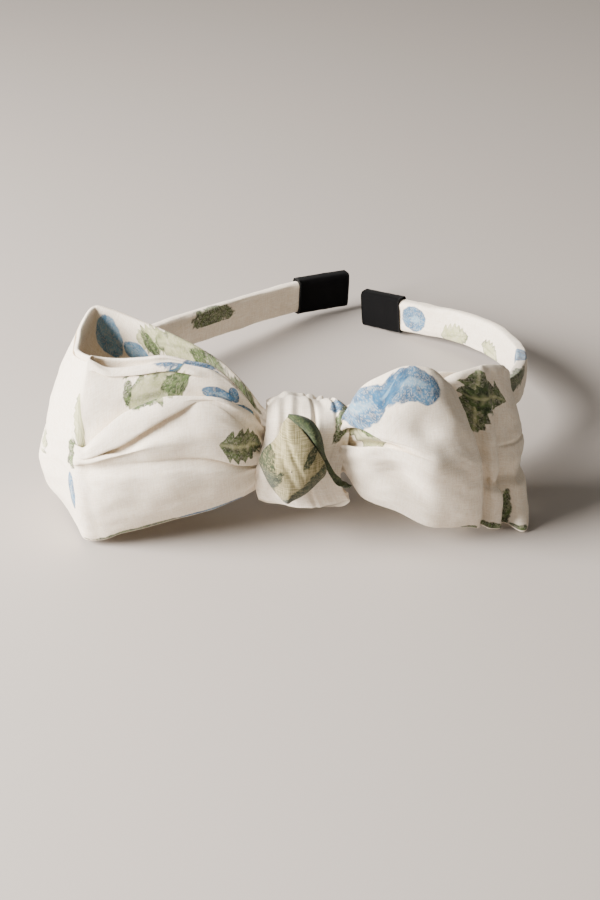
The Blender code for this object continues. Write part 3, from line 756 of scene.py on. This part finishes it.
# %% Prints on the loops
LEFT_PRINTS = [
    ("leaf", 41.3, 49.5, 4, 8.4, 9.0),
    ("dab", 36.6, 50.0, 35, 4.6, 3.2), ("dab", 43.5, 44.6, -12, 5.6, 2.8), ("dab", 49.0, 52.5, 85, 3.4, 1.3),
    ("dab", 42.0, 56.3, 0, 8.0, 1.1),
    ("blue_dab", 34.0, 60.5, 12, 10.0, 4.6), ("blue_dab", 24.0, 50.0, 60, 9.0, 1.6),
    ("petal", 26.5, 41.5, 20, 4.8, 1.7), ("petal", 22.3, 41.8, 60, 2.4, 1.5),
    ("petal", 17.5, 38.0, 20, 4.0, 0.8),
    ("dark_leaf", 20.0, 22.6, 5, 7.2, 5.2), ("petal", 60.8, 42.6, 0, 1.6, 1.1),
    # The two paler petals inside the back of the left loop are painted light, for light shining through the
    # cloth.
    ("painted_lit_petal", 106.8, 65.0, 20, 5.4, 4.8), ("painted_lit_petal", 115.6, 62.9, -20, 4.2, 2.4),
    ("leaf", 119.5, 56.5, -35, 5.5, 4.0), ("leaf", 128.5, 51.5, -33, 9.5, 5.0),
    ("dab", 119.5, 58.0, 20, 4.0, 2.0),
    ("dab", 137.0, 47.0, -38, 8.0, 2.8), ("dab", 148.0, 38.0, -40, 6.0, 2.0),
    ("leaf", 62.2, 43.5, 90, 6.5, 2.0), ("dab", 63.6, 30.0, 90, 9.0, 1.5),
    ("petal", 63.9, 15.0, 90, 5.5, 1.4),
    ("dab", 49.0, 0.3, 0, 15.0, 1.1), ("petal", 29.0, 0.3, 0, 10.0, 0.8),
    ("leaf", 84.0, 26.0, 60, 9.0, 6.0), ("petal", 97.0, 30.0, 30, 6.0, 5.0),
    ("petal", 104.0, 24.0, -40, 6.0, 4.0),
    ("leaf", 118.0, 18.0, 10, 9.0, 5.0), ("leaf", 60.0, 96.0, 20, 10.0, 6.0),
    ("petal", 40.0, 100.0, 0, 7.0, 5.0),
]
RIGHT_PRINTS = [
    ("petal", 22.8, 39.0, 52, 12.0, 3.7), ("petal", 29.5, 44.5, 20, 5.0, 3.0),
    ("petal", 36.2, 42.2, -4, 8.0, 5.0),
    ("leaf", 20.5, 25.0, 20, 8.5, 4.2), ("dab", 22.5, 28.4, 20, 7.5, 1.3),
    ("dark_leaf", 65.8, 35.5, 72, 9.5, 5.0), ("dark_leaf", 69.5, 36.0, -14, 7.0, 4.4),
    ("dab", 51.0, 0.5, 0, 3.0, 1.0), ("dab", 66.0, 0.5, 0, 5.0, 1.2), ("dab", 78.4, 0.4, 0, 2.2, 1.0),
    ("dab", 74.6, 4.0, 90, 5.5, 1.9),
    ("petal", 108.0, 22.0, 20, 7.0, 5.0), ("petal", 117.0, 26.0, -40, 6.0, 4.5),
    ("leaf", 96.0, 24.0, 70, 9.0, 6.0),
    ("leaf", 60.0, 78.0, 30, 9.0, 6.0), ("petal", 90.0, 66.0, 0, 6.0, 5.0),
]
left_cloth = cloth_material("cloth_left_loop", LEFT_PRINTS)
right_cloth = cloth_material("cloth_right_loop", RIGHT_PRINTS)

# %% Make both loops
left_loop = build_loop("left_loop_cloth", LEFT, left_profile, -1, left_cloth, left_extra, 3.7)
right_loop = build_loop("right_loop_cloth", RIGHT, right_profile, 1, right_cloth, right_extra, 8.2)
for cloth_loop, node in ((left_loop, "bow_left_loop"), (right_loop, "bow_right_loop")):
    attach(cloth_loop, "crown")
    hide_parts(node)

# %% [markdown]
# ## The knot
# A strip of the same cloth goes round the bow's waist and the band.  It shows as a
# pleated wrap, a broad folded face in front, a dark roll beside the face, and the
# roll's thin twisted tail.

# %% Wrap round waist and band
# The ring the wrap follows, seen from the side: depth, height, left edge, right edge.
WRAP_RING = [
    (-9.0, 10.6, -10.2, 12.4), (-9.4, 14.0, -11.0, 10.8), (-9.8, 19.0, -11.0, 10.0),
    (-9.4, 24.0, -10.0, 11.0),
    (-8.2, 29.0, -8.6, 12.0), (-6.2, 32.6, -8.2, 12.2), (-3.0, 34.4, -8.2, 11.8), (0.8, 34.0, -7.8, 10.0),
    (5.0, 31.8, -8.0, 9.0), (9.6, 30.0, -8.4, 8.8), (13.6, 27.8, -8.6, 8.8), (15.0, 24.0, -8.8, 8.8),
    (15.0, 18.0, -8.8, 8.8), (13.8, 12.6, -8.8, 8.8), (10.0, 10.0, -8.8, 8.8), (4.0, 9.4, -8.8, 9.2),
    (-3.0, 9.6, -9.4, 10.6),
]
# Valleys between the wrap's pleats: place across, depth, half width, sideways drift.
VALLEYS = [
    (-5.4, 0.9, 1.5, 1.2), (-1.0, 0.8, 1.6, -1.2), (3.6, 2.4, 0.6, 0.7), (6.2, 1.2, 0.8, 0.8),
    (8.8, 1.8, 0.55, 0.4),
]


def wrap_grid():
    """Rings of points: across the outer face, back along the inner face."""
    ring = np.array(WRAP_RING)
    closed = np.concatenate([ring, ring[:2]])
    steps = len(ring) * STEPS_PER_STATION
    turns = catmull(closed, np.linspace(0, len(ring), steps, endpoint=False))
    turns = np.concatenate([turns, turns[:1]])
    middle = np.array([4.0, 0.0, 21.5])
    columns = []
    count = 150
    for k, (y, z, left, right) in enumerate(turns):
        before, after = turns[k - 1 if k else -2], turns[(k + 1) % len(turns)]
        run = np.array([0.0, after[0] - before[0], after[1] - before[1]])
        normal = np.array([0.0, -run[2], run[1]]) / np.linalg.norm(run)
        if normal @ (np.array([0, y, z]) - middle * [0, 1, 1]) < 0:
            normal = -normal
        place = k / (len(turns) - 1)
        ring_points = []
        for j in range(count):
            q = j / (count - 1)
            x = left + (right - left) * q
            turn_angle = 2 * math.pi * place
            across = -9 + 21 * q
            pleats = sum(
                depth * (0.55 + 0.45 * math.sin(turn_angle + 0.9 * n))
                * bump_at(across, where + drift * math.sin(turn_angle + n), half)
                for n, (where, depth, half, drift) in enumerate(VALLEYS))
            pleats *= track(z, (10, 0.1), (16, 0.5), (24, 1))
            slow = 1.7 * noise_at((q * 3.4, place * 6, 2), 1.3)
            slow += 0.3 * noise_at((q * 9, place * 14, 5), 1.3)
            edge = (2 * q - 1) ** 4
            out = 1.0 + 0.9 * slow - 1.7 * edge - 1.1 * pleats
            ring_points.append(np.array([x, y, z]) + normal * out)
        for j in range(count):
            q = 1 - j / (count - 1)
            x = left + 0.4 + (right - left - 0.8) * q
            ring_points.append(np.array([x, y, z]) + normal * (-1.5 - 1.0 * (2 * q - 1) ** 4))
        columns.append(ring_points)
    return np.array(columns)


wrap_points = wrap_grid()
WRAP_PRINTS = [
    ("dab", 22.0, 20.6, 5, 5.2, 1.9), ("blue_dab", 26.5, 18.6, 0, 2.2, 2.0),
    ("leaf", 60.0, 10.0, 20, 9.0, 6.0),
]
wrap_cloth = cloth_material("cloth_wrap", WRAP_PRINTS)
wrap = surface_object("knot_wrap", placed(wrap_points), cloth_map(wrap_points), wrap_cloth)

# %% Folded face of the knot
# Its outline from the top corner round by the left, the foot and the right.
FACE = [
    (-2.9, -11.0, 36.3), (-4.6, -12.0, 33.8), (-5.7, -12.5, 31.0), (-8.5, -12.0, 28.0), (-10.0, -11.5, 24.3),
    (-9.3, -12.0, 21.8), (-7.6, -13.0, 18.4), (-5.6, -13.5, 15.6), (-3.4, -13.5, 13.0), (-1.7, -14.0, 14.1),
    (1.5, -14.5, 16.5), (4.6, -15.0, 20.2), (6.3, -15.0, 22.5), (6.0, -15.5, 25.8), (2.9, -15.5, 31.4),
    (-0.5, -13.0, 34.9),
]


def face_grid():
    """Rings from the face's middle out to its edge, then in again behind."""
    outline = np.array(FACE + FACE[:2])
    edge = catmull(outline, np.linspace(0, len(FACE), 161)[:-1])
    middle = np.array([-2.0, -18.2, 25.0])
    behind = np.array([-1.5, -9.5, 24.5])
    columns = []
    for r in np.linspace(0.02, 1, 44):
        row = middle + (edge - middle) * r
        row[:, 1] = edge[:, 1] * r ** 3 + middle[1] * (1 - r ** 3)
        for k, (x, _, z) in enumerate(row):
            # two soft folds run down from the top corner, one pinch comes in from the left
            slant = x + 0.42 * (z - 36)
            folds = 0.55 * bump_at(slant, -4.6, 0.7) * track(z, (20, 0), (32, 1))
            folds += 0.45 * bump_at(slant, -7.6, 0.9) * track(z, (14, 0), (26, 1), (31, 0.3))
            folds += 0.9 * bump_at(z + 0.25 * x, 29.3, 0.55) * track(x, (-7.5, 1), (-3.5, 0))
            row[k, 1] += folds - 0.7 * noise_at((x * 0.16, z * 0.16, 0), 5.0) * (1 - r ** 4)
        columns.append(row)
    for r in np.linspace(1, 0.02, 14)[1:]:
        row = behind + (edge - behind) * r
        row[:, 1] = edge[:, 1] + (behind[1] - edge[:, 1]) * (1 - r ** 3) + 0.6
        columns.append(row)
    return np.array(columns)


face_points = face_grid()
FACE_PRINTS = [
    ("deep_dab", -8.8, 25.0, 100, 9.0, 3.3), ("deep_dab", -6.2, 21.0, 60, 4.0, 1.5),
    ("deep_dab", 5.2, 21.8, 48, 5.4, 3.0), ("deep_dab", 0.8, 16.8, 40, 5.4, 2.5),
    ("deep_dab", -2.0, 14.6, 0, 2.6, 1.5), ("deep_dab", 2.6, 28.2, 60, 3.6, 1.1),
]
FACE_BASE = rgb(164, 154, 118)
FACE_SHADE = rgb(108, 102, 66)
face_cloth = cloth_material("cloth_knot_face", FACE_PRINTS, FACE_BASE, FACE_SHADE, speck=0.5)
flat_map = np.stack([face_points[..., 0], face_points[..., 2]], -1)
face = surface_object("knot_face", placed(face_points), flat_map, face_cloth)

# %% Roll and its tail


def tube_grid(path, widths, turn, sides=28):
    """A rolled strip along a path: widths are half across and half thick."""
    path, widths = np.array(path), np.array(widths)
    count = (len(path) - 1) * 14 + 1
    places = np.linspace(0, len(path) - 1, count)
    centre, sizes = catmull(path, places), catmull(widths, places)
    columns = []
    for k in range(count):
        ahead = centre[min(k + 1, count - 1)] - centre[max(k - 1, 0)]
        ahead /= np.linalg.norm(ahead)
        side = np.cross(ahead, [0, -1.0, 0])
        side /= np.linalg.norm(side)
        front = np.cross(side, ahead)
        twist = turn(k / (count - 1))
        row = []
        for j in range(sides):
            angle = 2 * math.pi * j / sides
            ridge = 1 + 0.10 * math.sin(3 * angle + 9 * k / count)
            a = sizes[k, 0] * ridge * math.cos(angle)
            b = sizes[k, 1] * ridge * math.sin(angle)
            row.append(centre[k] + side * (a * math.cos(twist) - b * math.sin(twist))
                       + front * (a * math.sin(twist) + b * math.cos(twist)))
        columns.append(row)
    return np.array(columns)


ROLL = [(-2.7, -11.0, 36.2), (-0.6, -12.2, 36.0), (1.8, -12.8, 34.6), (3.4, -13.4, 32.2), (4.3, -13.6, 29.6),
        (5.3, -13.2, 26.6), (6.6, -12.6, 23.6), (8.1, -12.0, 20.4), (9.6, -11.4, 18.0), (11.0, -10.8, 16.8),
        (12.4, -10.2, 16.0)]
ROLL_SIZE = [(0.7, 0.6), (1.25, 1.1), (1.65, 1.5), (1.6, 1.7), (1.3, 1.5), (0.8, 1.0),
             (0.65, 0.8), (0.7, 0.8), (1.0, 0.5), (0.6, 0.8), (0.6, 0.3)]
roll_points = tube_grid(ROLL, ROLL_SIZE, lambda t: 3.0 * max(0.0, t - 0.7) / 0.3)
ROLL_BASE, ROLL_SHADE = rgb(104, 108, 70), rgb(60, 70, 40)
ROLL_PRINTS = [("deep_dab", 10.0, 4.0, 0, 40.0, 30.0)]
roll_cloth = cloth_material("cloth_roll", ROLL_PRINTS, ROLL_BASE, ROLL_SHADE, speck=0.6)
roll = surface_object("knot_roll", placed(roll_points), cloth_map(roll_points), roll_cloth)
for piece in (wrap, face, roll):
    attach(piece, "crown")
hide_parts("knot_strip")
print("knot pieces", [p.name for p in (wrap, face, roll)])

# %% [markdown]
# ## The band
# The imported model splits core and sleeve at two flex lines.  Here each side's sleeve
# and core run unbroken from the middle of the crown to the tip.

# %% The band's middle line
BAND_PLAN = [
    (15.0, 129.0), (-1.8, 120.0), (-14.5, 108.8), (-27.0, 96.5), (-39.5, 84.0), (-49.0, 71.5), (-55.0, 58.0),
    (-56.5, 44.5), (-50.0, 30.5), (-36.0, 18.5), (-18.0, 12.3), (0.0, 10.5), (17.5, 11.8), (35.0, 17.5),
    (49.5, 28.5), (59.5, 43.0), (63.4, 59.0), (61.8, 74.0), (57.0, 87.5), (48.5, 98.5), (36.0, 107.5),
    (21.3, 118.6),
]
CROWN = 11              # the crown's place in the plan
CROWN_DEPTH = 10.5
CROWN_SLOPE = 0.135
ARM_START = 40.0
LEFT_SLOPE = 0.095
RIGHT_SLOPE = 0.135


def band_height(side, y):
    if y < ARM_START:
        return KNOT_HEIGHT - CROWN_SLOPE * (y - CROWN_DEPTH)
    slope = LEFT_SLOPE if side < 0 else RIGHT_SLOPE
    return KNOT_HEIGHT - CROWN_SLOPE * (ARM_START - CROWN_DEPTH) - slope * (y - ARM_START)


def band_half(side):
    """The middle line of one half, from just past the crown to its tip."""
    plan = [(x, y, band_height(side, y)) for x, y in BAND_PLAN]
    places = np.linspace(0, CROWN, 240) if side < 0 else np.linspace(CROWN, len(plan) - 1, 220)
    line = catmull(plan, places)
    return line[::-1] if side < 0 else line


def band_sweep(line, half_wide, half_thick, corner, sides, ruffle):
    """A flat tube along the band: half_wide is upright, half_thick is across."""
    columns = []
    gone = distances(line)
    for k, point in enumerate(line):
        ahead = line[min(k + 1, len(line) - 1)] - line[max(k - 1, 0)]
        ahead /= np.linalg.norm(ahead)
        side = np.cross(ahead, [0, 0, 1.0])
        side /= np.linalg.norm(side)
        up = np.cross(side, ahead)
        row = []
        for j in range(sides):
            angle = 2 * math.pi * j / sides
            a = half_thick * math.copysign(abs(math.cos(angle)) ** corner, math.cos(angle))
            b = half_wide * math.copysign(abs(math.sin(angle)) ** corner, math.sin(angle))
            swell = 1 + ruffle(gone[k], angle)
            row.append(point + side * a * swell + up * b * (1 + 0.3 * ruffle(gone[k], angle)))
        columns.append(row)
    return np.array(columns)


def sleeve_ruffle(seed):
    def ruffle(distance, angle):
        long = noise_at((distance * 0.05, math.cos(angle) * 1.5, math.sin(angle) * 1.5), seed)
        cross = noise_at((distance * 0.22, math.cos(angle), math.sin(angle) * 2), seed + 5)
        return 0.26 * long + 0.12 * cross
    return ruffle


def cap_ruffle(distance, angle):
    return 0.05 * noise_at((distance * 0.4, math.cos(angle) * 2, math.sin(angle) * 2), 3.0)


def no_ruffle(distance, angle):
    return 0.0


# %% Sleeves, cores and caps
CAP_REACH = {-1: 18.6, 1: 15.1}
SLEEVE_PRINTS = {
    "left": [("dab", 132.0, 2.5, 0, 9.5, 4.0), ("leaf", 60.0, 8.0, 20, 9.0, 5.0),
             ("petal", 84.0, 14.0, 0, 6.0, 4.5), ("leaf", 108.0, 18.0, -20, 8.0, 4.0)],
    "right": [("petal", 147.0, 12.5, 0, 4.5, 4.5), ("leaf", 131.5, 15.0, 10, 6.0, 4.6),
              ("leaf", 114.0, 16.0, -10, 5.5, 4.0), ("petal", 85.0, 7.5, 0, 6.0, 3.2),
              ("dab", 68.0, 4.0, 0, 8.5, 3.4), ("leaf", 42.0, 9.0, 10, 8.0, 4.5)],
}
for side, word in ((-1, "left"), (1, "right")):
    line = band_half(side)
    gone = distances(line)
    whole = gone[-1]
    sleeve_line = line[gone < whole - 1.5]
    sleeve_points = band_sweep(sleeve_line, 5.1, 1.75, 0.45, 40, sleeve_ruffle(side * 2.0))
    material = cloth_material("cloth_sleeve_" + word, SLEEVE_PRINTS[word])
    sleeve = surface_object("sleeve_%s_half" % word, placed(sleeve_points),
                            cloth_map(sleeve_points), material)
    core_line = line[gone < whole - 1.9]
    core_points = band_sweep(core_line, 4.2, 0.75, 0.3, 24, no_ruffle)
    core = surface_object("core_%s_half" % word, placed(core_points), cloth_map(core_points), plastic)
    cap_line = line[gone > whole - CAP_REACH[side]]
    cap_points = band_sweep(cap_line, 5.9, 2.35, 0.38, 48, cap_ruffle)
    cap = surface_object("velvet_cap_" + word, placed(cap_points), cloth_map(cap_points), velvet)
    for piece, slot, nodes in ((sleeve, "printed_cloth", ("sleeve_crown", "sleeve_" + word)),
                               (core, "core_plastic", ("core_crown", "core_" + word))):
        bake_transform(piece)
        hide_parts(*nodes)
    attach(cap, word + "_arm")
    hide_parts("cap_" + word)

# %% Finish
for node, finish_with in (
        ("waist_thread", thread), ("glue_dab", glue)):
    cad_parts[node].data.materials.clear()
    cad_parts[node].data.materials.append(finish_with)

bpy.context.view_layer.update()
